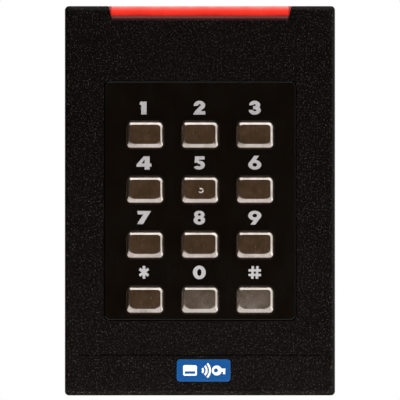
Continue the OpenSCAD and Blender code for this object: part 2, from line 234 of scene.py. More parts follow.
def plated_metal(name, dark, light, rough, brush, relief=0.012, haze_and_sheen=0.0):
    """Plated metal, brushed along the axis whose stretch is smallest.

    The last argument is the share of the metal turned into a pale diffuse coat, a painted reflection that
    lightens the face; it also hides the brushing.
    """
    s = Shade(name, Metallic=1.0)
    cloud = s.noise(3.2, 4)
    streak = s.noise(4.4, 1) if haze_and_sheen else s.noise(0.22, 3, 0.6, brush)
    tone = s.mix(streak, 0.4, cloud)
    s.link(s.ramp(tone, [(0.32, dark), (0.66, light)]), "Base Color")
    s.link(s.span(streak, 0.25, 0.75, rough - 0.05, rough + 0.08), "Roughness")
    if haze_and_sheen:
        # painted reflection: less metal lets the pale base colour lighten the face
        s.link(s.span(s.noise(3.6, 2), 0.36, 0.62, 1 - 0.4 * haze_and_sheen, 1 - haze_and_sheen), "Metallic")
        s.bump((s.noise(2.5, 2), 0.3, relief))
    else:
        s.bump((streak, 0.3, relief), (s.noise(0.12, 2), 0.25, relief * 0.6))
    return s.material


def zinc_steel(name, dark, light, rough):
    """Zinc-plated sheet: faint spangle, rolling marks and a thin passivation tint."""
    s = Shade(name, Metallic=1.0)
    spangle = s.node("SeparateColor", {0: s.cells(1.1, output="Color")}).outputs[0]
    rolled = s.noise(0.6, 4, 0.6, (1, 1, 0.03))
    cloud = s.noise(16.0, 5, 0.55)
    tone = s.math("ADD", s.math("MULTIPLY", spangle, 0.12), s.math("MULTIPLY", cloud, 0.63))
    tone = s.math("ADD", tone, s.math("MULTIPLY", rolled, 0.25))
    plain = s.ramp(tone, [(0.3, dark), (0.7, light)])
    tinted = s.blend(s.span(s.noise(24.0, 3), 0.45, 0.75, 0, 0.4), plain, (0.74, 0.68, 0.5), "MULTIPLY")
    s.link(tinted, "Base Color")
    marks = s.mix(rolled, 0.8, spangle)
    s.link(s.span(marks, 0.3, 0.7, rough - 0.06, rough + 0.1), "Roughness")
    s.bump((rolled, 0.3, 0.012), (s.noise(0.5, 3), 0.2, 0.01))
    return s.material


def rubber(name, dark, light, rough=0.75):
    """Matt rubber with a powdery sheen."""
    s = Shade(name, Specular_IOR_Level=0.35, Sheen_Weight=0.15)
    s.link(s.ramp(s.noise(2.5, 5, 0.65), [(0.35, dark), (0.68, light)]), "Base Color")
    s.link(s.span(s.noise(0.6, 3), 0.3, 0.7, rough - 0.1, rough + 0.1), "Roughness")
    s.bump((s.noise(0.25, 3), 0.5, 0.03), (s.cells(0.5), 0.3, 0.02))
    return s.material


def lit_lens(name, low_z, high_z):
    """Red lens lit from behind: deep at its lower edge, hot at the top, with frosted mottling.

    It fades where it turns back over the housing's top.
    """
    s = Shade(name, Roughness=0.35, Specular_IOR_Level=0.3, Coat_Weight=0.12, Coat_Roughness=0.2)
    height = s.span(s.axis("Z"), low_z * MM, high_z * MM)
    turned, flat = -24.6 * MM, -23.4 * MM
    fade = s.span(s.axis("Y"), turned, flat, 0.0, 0.62)
    mottle = s.span(s.noise(5.0, 3), 0.3, 0.7, -0.06, 0.06)
    level = s.math("SUBTRACT", s.math("ADD", height, mottle), fade)
    stops = [
        (0.0, (0.3, 0.01, 0.006)),
        (0.12, (0.56, 0.018, 0.01)),
        (0.28, (0.74, 0.024, 0.01)),
        (0.5, (0.8, 0.04, 0.02)),
        (0.72, (0.7, 0.09, 0.07)),
        (0.98, (0.6, 0.38, 0.4)),
    ]
    glow = s.ramp(level, stops)
    lit_half, dark_half = 27.2 * MM, 27.7 * MM
    ends = s.span(s.math("ABSOLUTE", s.axis("X")), lit_half, dark_half, 0, 0.93)
    s.link(s.blend(ends, glow, (0.035, 0.001, 0.001)), "Emission Color")
    s.shader.inputs["Emission Strength"].default_value = 0.9
    s.link(s.ramp(level, [(0.0, (0.2, 0.004, 0.003)), (1.0, (0.45, 0.02, 0.015))]), "Base Color")
    s.bump((s.noise(0.3, 2), 0.3, 0.01))
    return s.material


def printed_ink(name, dark, light):
    """Screen-printed ink, a little uneven."""
    s = Shade(name, Specular_IOR_Level=0.3)
    s.link(s.ramp(s.noise(0.35, 3), [(0.3, dark), (0.7, light)]), "Base Color")
    s.link(s.span(s.noise(0.8, 2), 0.3, 0.7, 0.5, 0.7), "Roughness")
    s.bump((s.noise(0.18, 2), 0.4, 0.008))
    return s.material


def badge_enamel(name, centre, half):
    """Blue enamel under a clear coat, a little duller towards its rim."""
    s = Shade(name, Roughness=0.3, Coat_Weight=0.35, Coat_Roughness=0.08)
    near_rim = s.span(s.beyond(centre, half), -0.9 * MM, -0.1 * MM)
    stops = [(0.0, (0.0, 0.065, 0.25)), (0.55, (0.0, 0.07, 0.24)), (0.95, (0.003, 0.075, 0.23))]
    blue = s.ramp(near_rim, stops)
    uneven = s.blend(s.span(s.noise(1.6, 4), 0.3, 0.7, 0, 0.22), blue, (0.0, 0.05, 0.24))
    s.link(uneven, "Base Color")
    s.bump((s.noise(0.9, 2), 0.15, 0.02))
    return s.material


def board_laminate(name):
    """Green solder mask over copper tracks, with tinned pads showing here and there."""
    s = Shade(name, Roughness=0.32, Coat_Weight=0.3)
    inputs = {"Vector": s.stretched((0.16, 0.16, 0.16)), "Scale": 1.0, "Mortar Size": 0.06}
    tracks = s.node("TexBrick", inputs).outputs["Fac"]
    mask = s.blend(tracks, (0.008, 0.085, 0.03), (0.02, 0.2, 0.07))
    mask = s.blend(s.span(s.noise(3.0, 4), 0.35, 0.65, 0, 0.5), mask, (0.005, 0.06, 0.025))
    pads = s.span(s.cells(2.3), 0.2, 0.23, 1.0, 0.0)
    s.link(s.blend(pads, mask, (0.6, 0.58, 0.5)), "Base Color")
    s.link(pads, "Metallic")
    s.bump((tracks, 0.4, 0.03))
    return s.material


def chip_resin(name, centre, half):
    """Black moulding whose leads, outside the body's outline, are tinned metal."""
    s = Shade(name)
    lead = s.math("GREATER_THAN", s.beyond(centre, half), 0.01 * MM)
    resin = s.ramp(s.noise(0.3, 3), [(0.3, (0.012, 0.012, 0.013)), (0.7, (0.035, 0.035, 0.038))])
    s.link(s.blend(lead, resin, (0.68, 0.67, 0.63)), "Base Color")
    s.link(lead, "Metallic")
    s.link(s.span(s.noise(0.5, 2), 0.3, 0.7, 0.4, 0.6), "Roughness")
    s.bump((s.noise(0.12, 2), 0.5, 0.02))
    return s.material


def wound_copper(name):
    """Enamelled wire: turns side by side along the winding."""
    s = Shade(name, Metallic=1.0, Roughness=0.28, Coat_Weight=0.6)
    inputs = {"Vector": s.stretched((1, 3, 1)), "Scale": 0.9, "Distortion": 0.3, "Detail": 1.0}
    turns = s.node("TexWave", inputs, wave_type="BANDS", bands_direction="Y").outputs["Fac"]
    s.link(s.ramp(turns, [(0.1, (0.28, 0.08, 0.025)), (0.6, (0.72, 0.3, 0.11))]), "Base Color")
    s.bump((turns, 0.8, 0.08))
    return s.material


def mottled(name, dark, light, rough, size_mm=1.2, **settings):
    """Small moulded or cast things: two tones, uneven gloss and a faint skin."""
    s = Shade(name, **settings)
    s.link(s.ramp(s.noise(size_mm, 4), [(0.32, dark), (0.68, light)]), "Base Color")
    s.link(s.span(s.noise(size_mm * 0.5, 3), 0.3, 0.7, rough - 0.08, rough + 0.1), "Roughness")
    s.bump((s.noise(size_mm * 0.22, 3), 0.4, 0.02))
    return s.material


# ------------------------------------------------------------ mesh helpers


def to_mesh(bm, name):
    """Turns a finished bmesh into a mesh."""
    mesh = bpy.data.meshes.new(name)
    bm.to_mesh(mesh)
    bm.free()
    return mesh


def add_object(name, data):
    """A new object, linked to the scene."""
    obj = bpy.data.objects.new(name, data)
    bpy.context.scene.collection.objects.link(obj)
    return obj


def rounded_outline(w, h, high_r, steps=6, cx=0.0, cz=0.0, low_r=None):
    """A rounded rectangle as (x, z), anticlockwise seen from the front.

    low_r is the radius of the two lower corners, when it isn't that of the upper ones.
    """
    points = []
    for corner, (sx, sz) in enumerate(((1, 1), (-1, 1), (-1, -1), (1, -1))):
        r = high_r if sz > 0 or low_r is None else low_r
        mid_x, mid_z = cx + sx * (w / 2 - r), cz + sz * (h / 2 - r)
        for k in range(steps + 1):
            a = math.radians(90 * corner + 90 * k / steps)
            points.append((mid_x + r * math.cos(a), mid_z + r * math.sin(a)))
    return points


def growing(w, h, r, steps=6, cx=0.0, cz=0.0, low_r=None):
    """A function that gives a rounded rectangle, let out by a margin all round."""

    def outline(margin):
        lower = None if low_r is None else low_r + margin
        return rounded_outline(w + 2 * margin, h + 2 * margin, r + margin, steps, cx, cz, lower)

    return outline


def ellipse_outline(cx, cz, rx, rz, start=0.0, end=360.0, steps=40):
    """An ellipse, or part of one between two angles in degrees."""
    closed = abs(end - start) >= 360
    count = steps if closed else steps + 1
    return [
        (cx + rx * math.cos(math.radians(a)), cz + rz * math.sin(math.radians(a)))
        for a in (start + (end - start) * k / steps for k in range(count))
    ]


def arc_band(cx, cz, outer, inner, start, end, steps=28):
    """A stroke along part of an ellipse, with butt ends."""
    out = ellipse_outline(cx, cz, *outer, start, end, steps)
    back = ellipse_outline(cx, cz, *inner, end, start, steps)
    return out + back


def stroke(x0, z0, x1, z1, width):
    """A straight stroke with butt ends."""
    along = Vector((x1 - x0, z1 - z0)).normalized() * width / 2
    nx, nz = -along.y, along.x
    return [(x0 - nx, z0 - nz), (x1 - nx, z1 - nz), (x1 + nx, z1 + nz), (x0 + nx, z0 + nz)]


class Solid:
    """A closed mesh put together from rings of points."""

    def __init__(self):
        self.bm = bmesh.new()

    def ring(self, points):
        return [self.bm.verts.new(place(*p)) for p in points]

    def flat_ring(self, outline, depth):
        return self.ring([(x, depth, z) for x, z in outline])

    def skin(self, a, b, closed=True, skip=()):
        """Joins two rings of as many points, except along the sides whose index is skipped."""
        count = len(a)
        for i in range(count if closed else count - 1):
            if i not in skip:
                j = (i + 1) % count
                self.bm.faces.new((a[i], a[j], b[j], b[i]))

    def loft(self, rings, closed=True):
        """Skins each ring onto the next."""
        for a, b in zip(rings, rings[1:]):
            self.skin(a, b, closed)

    def cap(self, outer, *holes):
        """Fills a flat outline, leaving its holes open."""
        loops = [outer, *holes]
        verts = [v for loop in loops for v in loop]
        if not holes and len(outer) <= 4:
            self.bm.faces.new(outer)
            return
        for a, b, c in tessellate_polygon([[v.co for v in loop] for loop in loops]):
            self.bm.faces.new((verts[a], verts[b], verts[c]))

    def prism(self, outline, low, high, holes=()):
        """A flat plate between two depths."""
        back = [self.flat_ring(o, low) for o in (outline, *holes)]
        front = [self.flat_ring(o, high) for o in (outline, *holes)]
        for a, b in zip(back, front):
            self.skin(a, b)
        self.cap(*back)
        self.cap(*front)

    def lathe(self, cx, cz, profile, steps=40):
        """Turns (radius, depth) points round an axis along the depth; ends at radius 0 close it."""
        rings = []
        for radius, depth in profile:
            if radius < 1e-6:
                rings.append([self.bm.verts.new(place(cx, depth, cz))])
            else:
                rings.append(self.flat_ring(ellipse_outline(cx, cz, radius, radius, steps=steps), depth))
        for a, b in zip(rings, rings[1:]):
            if len(a) == 1 or len(b) == 1:
                tip, loop = (a[0], b) if len(a) == 1 else (b[0], a)
                for i in range(len(loop)):
                    self.bm.faces.new((tip, loop[i], loop[(i + 1) % len(loop)]))
            else:
                self.skin(a, b)

    def finish(self, name, material, body=READER, replaces=(), sharp=38):
        """Turns the rings into a finished piece."""
        bmesh.ops.recalc_face_normals(self.bm, faces=self.bm.faces)
        return piece(name, to_mesh(self.bm, name), material, body, replaces, sharp)


def piece(name, mesh, material, body, replaces, sharp):
    """Puts a mesh in the scene and on its body. sharp is the angle of a hard edge, in degrees."""
    obj = add_object(name, mesh)
    mesh.materials.append(material)
    mesh.shade_smooth()
    mesh.set_sharp_from_angle(angle=math.radians(sharp))
    even = obj.modifiers.new("even_normals", "WEIGHTED_NORMAL")
    even.keep_sharp = True
    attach(obj, body)
    if replaces:
        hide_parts(*replaces)
    return obj


def united(name, outlines, low, high):
    """One mesh from several flat prisms that may overlap. An outline is (points, *holes)."""
    made = []
    for outer, *holes in outlines:
        solid = Solid()
        solid.prism(outer, low, high, holes)
        bmesh.ops.recalc_face_normals(solid.bm, faces=solid.bm.faces)
        made.append(add_object(name, to_mesh(solid.bm, name)))
    first = made[0]
    for other in made[1:]:
        union = first.modifiers.new("union", "BOOLEAN")
        union.operation, union.solver, union.object = "UNION", "EXACT", other
    depsgraph = bpy.context.evaluated_depsgraph_get()
    result = bpy.data.meshes.new_from_object(first.evaluated_get(depsgraph))
    for obj in made:
        bpy.data.objects.remove(obj)
    return result


# a flat face starts with a narrow flat margin, so that its edge's rounding doesn't shade the rest of it
FLAT_MARGIN = 0.12


def quarter(inset0, depth0, across, rise, steps, start=0.0):
    """(inset, depth) points of a quarter ellipse that leans from a side wall onto a face."""
    out = []
    for k in range(steps + 1):
        a = math.radians(start + (90 - start) * k / steps)
        out.append((inset0 + across * (1 - math.cos(a)), depth0 + rise * math.sin(a)))
    return out


# ----------------------------------------------------------------- housing

# sizes are in millimetres; a name with BACK, FRONT, LEDGE, START or _D is a depth
BODY_W, BODY_H, FRONT = 84.0, 121.0, 26.2
CORNER_R, DRAFT = 1.3, 0.1
# the walls turn onto the face from ROLL_START, by ROLL in both directions
ROLL_START, ROLL = 24.6, 1.6
BACK, LEDGE, FACE_BACK = 0.4, 10.4, 23.8
# half width and half height inside the skirt, and half width, low side and high side of the cavity
SKIRT = (40.1, 58.6)
CAVITY_HALF, CAVITY_LOW, CAVITY_HIGH = 38.6, 57.1, 55.9
RECESS_BACK, RECESS_FLOOR = 16.05, 57.25
BAR_HALF, BAR_LEAN, BAR_Z = 28.5, 0.8, 57.4
# the slot in the upper wall for the light bar's leg
LEG_SLOT = ((-23.95, 19.75), (-23.95, 22.05), (23.95, 22.05), (23.95, 19.75))
SEAT_D, SHELF_D = 24.0, 22.4
PANEL_W, PANEL_H = 59.8, 74.5
GROOVE_Z, GROOVE_W, GROOVE_H = -47.8, 75.3, 0.5
# centre x and z, width and height
BADGE = (1.1, -52.6, 16.7, 6.9)
# the security screw's depth, and the height of its pad's inner face
LOCK_D, PAD_Z = 4.4, -57.2


def draft_at(depth):
    """How far the side walls have leaned in at a depth in front of the ledge."""
    return DRAFT * (depth - LEDGE) / (ROLL_START - LEDGE)


def bar_end(z, grow=0.0):
    """Half width of the light bar at height z: its ends lean in towards the lower edge."""
    return BAR_HALF + grow - BAR_LEAN * (BODY_H / 2 + 1 - z) / (BODY_H / 2 + 1 - BAR_Z)


def housing_ring(inset, depth, steps=8):
    """One ring round the housing, an open chain whose ends are the cuts of the light bar's recess."""
    half_w, half_h = BODY_W / 2 - inset, BODY_H / 2 - inset
    outline = rounded_outline(2 * half_w, 2 * half_h, CORNER_R, steps)
    cut = bar_end(half_h, 0.15)
    corner = outline[: steps + 1]
    points = [(-cut, half_h), *outline[steps + 1 :], *corner, (cut, half_h)]
    return [(x, depth, z) for x, z in points]


def lipped_hole(solid, outline_at, face_depth, floor_depth, lip):
    """A hole with a rounded rim: returns its ring on the face and its ring at the bottom."""
    rings = [solid.flat_ring(outline_at(lip + FLAT_MARGIN), face_depth)]
    for k in range(4):
        a = math.radians(90 * k / 3)
        outline = outline_at(lip * (1 - math.sin(a)))
        rings.append(solid.flat_ring(outline, face_depth - lip * (1 - math.cos(a))))
    rings.append(solid.flat_ring(outline_at(0), floor_depth))
    solid.loft(rings)
    return rings[0], rings[-1]


def lower_side(ring):
    """Index of the long straight side at the bottom of a housing ring."""
    for i, (a, b) in enumerate(zip(ring, ring[1:])):
        if max(a.co.z, b.co.z) < -60 * MM and abs(a.co.x - b.co.x) > 50 * MM:
            return i


def build_housing(material):
    """The whole shell: outer walls, face with its recesses, and every inner wall."""
    s = Solid()
    soft = 0.3
    edge = [math.radians(a) for a in (0, 30, 60, 90)]
    profile = [(soft - soft * math.sin(a), BACK + soft * (1 - math.cos(a))) for a in edge]
    screw_row = len(profile) - 1
    profile += [(0.0, LEDGE), (draft_at(RECESS_BACK), RECESS_BACK)]
    rows = len(profile)
    profile += [(draft_at(20.0), 20.0)] + quarter(DRAFT, ROLL_START, ROLL, ROLL, 12)
    profile += [(DRAFT + ROLL + FLAT_MARGIN, FRONT)]
    rings = [s.ring(housing_ring(*p)) for p in profile]
    # the straight stretch of the lower side has the security screw's hole in it
    screw_side = lower_side(rings[screw_row])
    for k in range(rows - 1):
        s.skin(rings[k], rings[k + 1], True, (screw_side,) if k == screw_row else ())
    for k in range(rows - 1, len(rings) - 1):
        s.skin(rings[k], rings[k + 1], False)
    pad_foot = screw_hole(s, rings[screw_row], rings[screw_row + 1], screw_side)
    front = rings[-1]
    # recess of the light bar, with a rolled lower lip
    recess = rings[rows - 1 :]
    lip = 0.38
    low = bar_end(RECESS_FLOOR, 0.15)
    left_back, right_back = s.ring([(-low, RECESS_BACK, RECESS_FLOOR), (low, RECESS_BACK, RECESS_FLOOR)])
    roll = []
    for k in range(6):
        a = math.radians(18 * k)
        depth, z = FRONT - lip + lip * math.sin(a), RECESS_FLOOR - lip * (1 - math.cos(a))
        roll.append(s.ring([(-low, depth, z), (low, depth, z)]))
    s.loft(roll, False)
    left_front, right_front = roll[0]
    s.cap([r[0] for r in recess] + [r[0] for r in reversed(roll)] + [left_back])
    s.cap([r[-1] for r in recess] + [r[1] for r in reversed(roll)] + [right_back])
    s.bm.faces.new((recess[0][0], left_back, right_back, recess[0][-1]))
    slot_top = level_ring(s, LEG_SLOT, RECESS_FLOOR)
    s.cap([left_back, left_front, right_front, right_back], slot_top)
    # front face with its holes
    seat_ring, seat_floor = lipped_hole(s, growing(PANEL_W, PANEL_H, 1.6), FRONT, SEAT_D, 0.15)
    groove = growing(GROOVE_W, GROOVE_H, 0.2, 3, 0, GROOVE_Z)
    groove_ring, groove_floor = lipped_hole(s, groove, FRONT, FRONT - 0.5, 0.08)
    badge = growing(BADGE[2] + 0.3, BADGE[3] + 0.3, 1.1, 6, BADGE[0], BADGE[1])
    badge_ring, badge_floor = lipped_hole(s, badge, FRONT, FRONT - 0.45, 0.12)
    s.cap([*front, roll[-1][1], roll[-1][0]], seat_ring, groove_ring, badge_ring)
    s.cap(groove_floor)
    s.cap(badge_floor)
    # window behind the panel, and the shelf round it
    window = rounded_outline(PANEL_W - 4, PANEL_H - 2.6, 1)
    window_front, window_back = s.flat_ring(window, SEAT_D), s.flat_ring(window, SHELF_D)
    s.cap(seat_floor, window_front)
    s.skin(window_front, window_back)
    pocket = rounded_outline(PANEL_W + 5, PANEL_H + 6, 2)
    shelf = [s.flat_ring(pocket, d) for d in (SHELF_D, FACE_BACK)]
    s.cap(shelf[0], window_back)
    s.skin(*shelf)
    # inner walls: the cavity, the ledge and the skirt
    mid_z = (CAVITY_HIGH - CAVITY_LOW) / 2
    inside = rounded_outline(2 * CAVITY_HALF, CAVITY_LOW + CAVITY_HIGH, 1, WALL_STEPS, 0, mid_z)
    cavity = [s.flat_ring(inside, d) for d in (FACE_BACK, LEDGE)]
    s.cap(cavity[0], shelf[1])
    # the cavity's upper side is open where the light bar's leg comes in
    s.skin(*cavity, True, (UPPER_SIDE,))
    slot_low = level_ring(s, LEG_SLOT, CAVITY_HIGH)
    s.cap(side_panel(*cavity, UPPER_SIDE), slot_low)
    s.skin(slot_low, slot_top)
    inside = rounded_outline(2 * SKIRT[0], 2 * SKIRT[1], 1, WALL_STEPS)
    skirt = [s.flat_ring(inside, d) for d in (LEDGE, BACK + 0.2)]
    s.cap(skirt[0], cavity[1])
    skirt_walls(s, *skirt, pad_foot)
    mouth_outline = rounded_outline(2 * SKIRT[0] + 0.4, 2 * SKIRT[1] + 0.4, 1.2, WALL_STEPS)
    mouth = s.flat_ring(mouth_outline, BACK)
    s.skin(skirt[1], mouth)
    s.cap(rings[0], mouth)
    s.finish("housing_shell", material, replaces=("front_housing",))


# an inner wall's corners have this many steps, which sets the index of its upper and lower side
WALL_STEPS = 3
UPPER_SIDE, LOWER_SIDE = WALL_STEPS, 3 * WALL_STEPS + 2


def side_panel(a, b, index):
    """The four corners of one side between two rings."""
    return [a[index], a[index + 1], b[index + 1], b[index]]


def level_ring(s, outline, z):
    """A ring of (x, depth) points at one height."""
    return s.ring([(x, depth, z) for x, depth in outline])


def screw_hole(s, low_ring, high_ring, index):
    """The lower side's flat strip, with the security screw's countersunk hole through it.

    Returns the ring where the screw's pad stands on the skirt.
    """
    z = -BODY_H / 2
    rings = []
    for radius, height in ((3.45, z), (3.38, z + 0.05), (1.95, z + 1.5), (1.95, PAD_Z)):
        circle = ellipse_outline(0, LOCK_D, radius, radius, steps=32)
        rings.append(level_ring(s, circle, height))
    s.cap(side_panel(low_ring, high_ring, index), rings[0])
    s.loft(rings)
    outline = ((-4.5, 0.9), (4.5, 0.9), (4.5, 7.5), (-4.5, 7.5))
    pad = [level_ring(s, outline, z) for z in (PAD_Z, -SKIRT[1])]
    s.cap(pad[0], rings[-1])
    s.skin(*pad)
    return pad[1]


def skirt_walls(s, inner, outer, pad_foot):
    """The skirt's inside, with the screw's pad below and two ribs for the plate's hooks above."""
    s.skin(inner, outer, True, (UPPER_SIDE, LOWER_SIDE))
    rib_end = 55.9
    ribs = []
    for left, right in ((-26, -14), (14, 26)):
        outline = ((left, 2.1), (right, 2.1), (right, 3.6), (left, 3.6))
        feet = [level_ring(s, outline, z) for z in (SKIRT[1], rib_end)]
        s.skin(*feet)
        s.cap(feet[1])
        ribs.append(feet[0])
    s.cap(side_panel(inner, outer, UPPER_SIDE), *ribs)
    s.cap(side_panel(inner, outer, LOWER_SIDE), pad_foot)


def build_housing_posts(material):
    """Bosses for the cover's screws and posts for the keypad board, on the housing's inside."""
    s = Solid()
    top, bore_depth = FACE_BACK - 0.02, 2.6
    # x, z, radius, radius of the bore, depth of the free end
    kinds = ((36.6, 54.3, 2.0, 1.1, LEDGE + 0.05), (31.5, 44, 2.4, 1.2, 20.15))
    for sx in (-1, 1):
        for sz in (-1, 1):
            for x, z, r, bore, end in kinds:
                post = ellipse_outline(sx * x, sz * z, r, r, steps=28)
                hole = ellipse_outline(sx * x, sz * z, bore, bore, steps=28)
                outer = [s.flat_ring(post, d) for d in (top, end)]
                inner = [s.flat_ring(hole, d) for d in (end, end + bore_depth)]
                s.skin(*outer)
                s.cap(outer[0])
                s.cap(outer[1], inner[0])
                s.skin(*inner)
                s.cap(inner[1])
    s.finish("housing_posts", material)


# ------------------------------------------------------- light bar and panel


def build_light_bar(material):
    """The lens follows the housing's roll-over, and a leg behind it reaches the lamps."""
    s = Solid()
    back, soft = 16.2, 0.22
    part = soft * 0.3
    lean = draft_at(back)
    profile = [(lean + soft, back), (lean + part, back + part), (lean, back + soft)]
    profile += [(draft_at(20.5), 20.5)] + quarter(DRAFT, ROLL_START, ROLL, ROLL, 14)
    points = [(depth, BODY_H / 2 - inset) for inset, depth in profile]
    points += [(FRONT, BAR_Z + soft), (FRONT - part, BAR_Z + part), (FRONT - soft, BAR_Z), (back, BAR_Z)]
    rows = []
    for depth, z in points:
        half = bar_end(z)
        rows.append(s.ring([(x, depth, z) for x in (-half, -half + part, half - part, half)]))
    s.loft(rows, False)
    s.skin(rows[-1], rows[0], False)
    s.cap([r[0] for r in rows])
    s.cap([r[-1] for r in rows])
    outline = ((-23.8, 19.9), (-23.8, 21.9), (23.8, 21.9), (23.8, 19.9))
    leg = [level_ring(s, outline, z) for z in (54.0, BAR_Z + 0.4)]
    s.skin(*leg)
    s.cap(leg[0])
    s.cap(leg[1])
    s.finish("light_bar_lens", material, replaces=("light_bar",), sharp=50)


def key_centre(name):
    """Centre of a key, (x, z), from its CAD node."""
    lo, hi = cad_mm("key_" + name)
    return (lo[0] + hi[0]) / 2, (lo[2] + hi[2]) / 2


KEY_W, KEY_H = 11.2, 8.0
KEY_HIGH_R, KEY_LOW_R = 1.6, 1.15
# all round a key, in its opening
KEY_GAP = 0.3


def build_panel(material):
    """Smooth panel with a softened outer edge and a rolled lip at each of its twelve openings."""
    s = Solid()
    w, h = PANEL_W - 0.36, PANEL_H - 0.36
    back, front, soft = 24.4, 26.0, 0.4
    outline = lambda i: rounded_outline(w - 2 * i, h - 2 * i, max(1.6 - i * 0.4, 0.3), 7)
    bevel = quarter(0, front - soft, soft, soft, 6) + [(soft + FLAT_MARGIN, front)]
    rings = [s.flat_ring(outline(0), back)] + [s.flat_ring(outline(i), d) for i, d in bevel]
    s.loft(rings)
    holes = []
    for name in KEYS:
        x, z = key_centre(name)
        key_wall = growing(KEY_W, KEY_H, KEY_HIGH_R, 6, x, z, KEY_LOW_R)
        holes.append(lipped_hole(s, lambda g: key_wall(KEY_GAP + g), front, back, 0.3))
    s.cap(rings[-1], *[rim for rim, floor in holes])
    s.cap(rings[0], *[floor for rim, floor in holes])
    s.finish("key_panel", material, replaces=("keypad_bezel",), sharp=45)


def key_outline(lean, x, z, shrink=0.0):
    """One ring of a key.

    lean goes from 0 at its wall to 1 at the crease, and shrink from there to its middle.
    """
    left, right = -KEY_W / 2 + 0.72 * lean, KEY_W / 2 - 0.82 * lean
    low, high = -KEY_H / 2 + 1.08 * lean, KEY_H / 2 - 0.64 * lean
    mid_x, mid_z = (left + right) / 2, (low + high) / 2
    half_w, half_h = (right - left) / 2, (high - low) / 2
    high_r, low_r = KEY_HIGH_R - 0.5 * lean, KEY_LOW_R + 0.85 * lean
    keep = 1 - shrink
    points = []
    for px, pz in rounded_outline(2 * half_w, 2 * half_h, high_r, 7, low_r=low_r):
        across, upward = px / half_w, pz / half_h
        bow = (0.4 if upward < 0 else -0.3) * across**2 * lean * abs(upward)
        points.append((x + mid_x + px * keep, z + mid_z + (pz + bow) * keep))
    return points


def build_key(name, material):
    """A pillow-shaped plated cap, rising from the flange that holds it in."""
    x, z = key_centre(name)
    s = Solid()
    wall = growing(KEY_W, KEY_H, KEY_HIGH_R, 7, x, z, KEY_LOW_R)
    steps = ((0.6, 23.4), (0.6, 24.28), (0.52, 24.34), (0.0, 24.35), (0.0, 27.1))
    rings = [s.flat_ring(wall(out), depth) for out, depth in steps]
    # the side leans in with a slight swell, turns over a tight crease and crowns very gently
    swell = [(0.02, 27.17), (0.1, 27.26), (0.25, 27.4), (0.45, 27.56)]
    swell += [(0.65, 27.71), (0.82, 27.82), (0.94, 27.88), (1.0, 27.9)]
    rings += [s.flat_ring(key_outline(lean, x, z), depth) for lean, depth in swell]
    for shrink in (0.05, 0.13, 0.25, 0.4, 0.57, 0.75, 0.9):
        rise = 1 - (1 - shrink) ** 2
        rings.append(s.flat_ring(key_outline(1.0, x, z, shrink), 27.905 + 0.095 * rise))
    s.loft(rings)
    s.cap(rings[0])
    s.cap(rings[-1])
    if name == "5":
        pip = [(0, 27.7), (0.82, 27.7), (0.82, 27.98), (0.68, 28.08)]
        pip += [(0.5, 28.18), (0.32, 28.24), (0, 28.25)]
        s.lathe(x + 0.26, z - 0.2, pip, 24)
    s.finish("button_" + name, material, "button_" + name, ("key_" + name,), sharp=50)


# the shapes of a legend, each an outline and its holes, from the middle of the legend
GLYPHS = {
    "1": [([(-0.93, -2.16), (0.87, -2.16), (0.87, 1.95), (-1.18, 1.95), (-1.58, 1.05), (-0.93, 0.9)],)],
    "2": [
        (arc_band(0.05, 0.72, (1.9, 1.5), (0.5, 0.42), 188, -42),),
        (stroke(0.95, 0.3, -1.15, -1.75, 1.35),),
        ([(-2.0, -2.22), (2.0, -2.22), (2.0, -1.1), (-1.1, -1.1), (-2.0, -1.75)],),
    ],
    "3": [
        (arc_band(-0.05, 0.86, (1.85, 1.36), (0.45, 0.26), 185, -90),),
        (arc_band(0, -0.81, (2.0, 1.41), (0.55, 0.31), 90, -185),),
        ([(-0.55, -0.45), (0.1, -0.5), (0.1, 0.6), (-0.55, 0.55)],),
    ],
    "4": [(
        [
            (0.2, -2.22), (1.9, -2.22), (1.9, -1.3), (2.5, -1.3), (2.5, -0.25), (1.9, -0.25),
            (1.9, 2.02), (-0.1, 2.02), (-2.5, -0.55), (-2.5, -1.3), (0.2, -1.3),
        ],
        [(0.2, -0.25), (0.2, 1.0), (-0.85, -0.25)],
    )],
    "5": [
        ([(-1.45, 2.04), (1.75, 2.04), (1.75, 1.0), (-0.15, 1.0), (-0.2, 0.2), (-1.6, -0.1)],),
        (arc_band(-0.1, -0.78, (1.95, 1.44), (0.55, 0.4), 118, -155),),
    ],
    "6": [
        (ellipse_outline(0, -0.67, 2.2, 1.55), ellipse_outline(0, -0.67, 0.78, 0.6)),
        ([(-2.1, -0.3), (-0.2, 2.22), (1.45, 2.22), (0.35, 0.8), (-0.9, -0.3)],),
    ],
    "7": [([(-2.3, -2.06), (-0.3, -2.06), (2.35, 2.16), (-2.2, 2.16), (-2.1, 1.05), (-0.25, 1.05)],)],
    "8": [
        (ellipse_outline(0, 0.98, 1.75, 1.24), ellipse_outline(0, 1.0, 0.5, 0.4)),
        (ellipse_outline(0, -0.82, 1.92, 1.4), ellipse_outline(0, -0.84, 0.58, 0.45)),
    ],
    "star": [
        (stroke(0, -1.9, 0, 2.15, 0.95),),
        (stroke(-1.5, -0.95, 1.5, 1.2, 0.9),), (stroke(-1.5, 1.2, 1.5, -0.95, 0.9),),
    ],
    "0": [(ellipse_outline(0, 0.08, 2.15, 2.18), ellipse_outline(0, 0.08, 0.72, 1.12))],
    "hash": [
        (stroke(-0.85, -1.95, -0.65, 2.1, 0.85),), (stroke(0.7, -1.95, 0.9, 2.1, 0.85),),
        (stroke(-2.1, 0.74, 2.1, 0.74, 0.78),), (stroke(-2.1, -0.74, 2.1, -0.74, 0.78),),
    ],
}
GLYPHS["9"] = [tuple([(-x, -z) for x, z in loop] for loop in shape) for shape in GLYPHS["6"]]


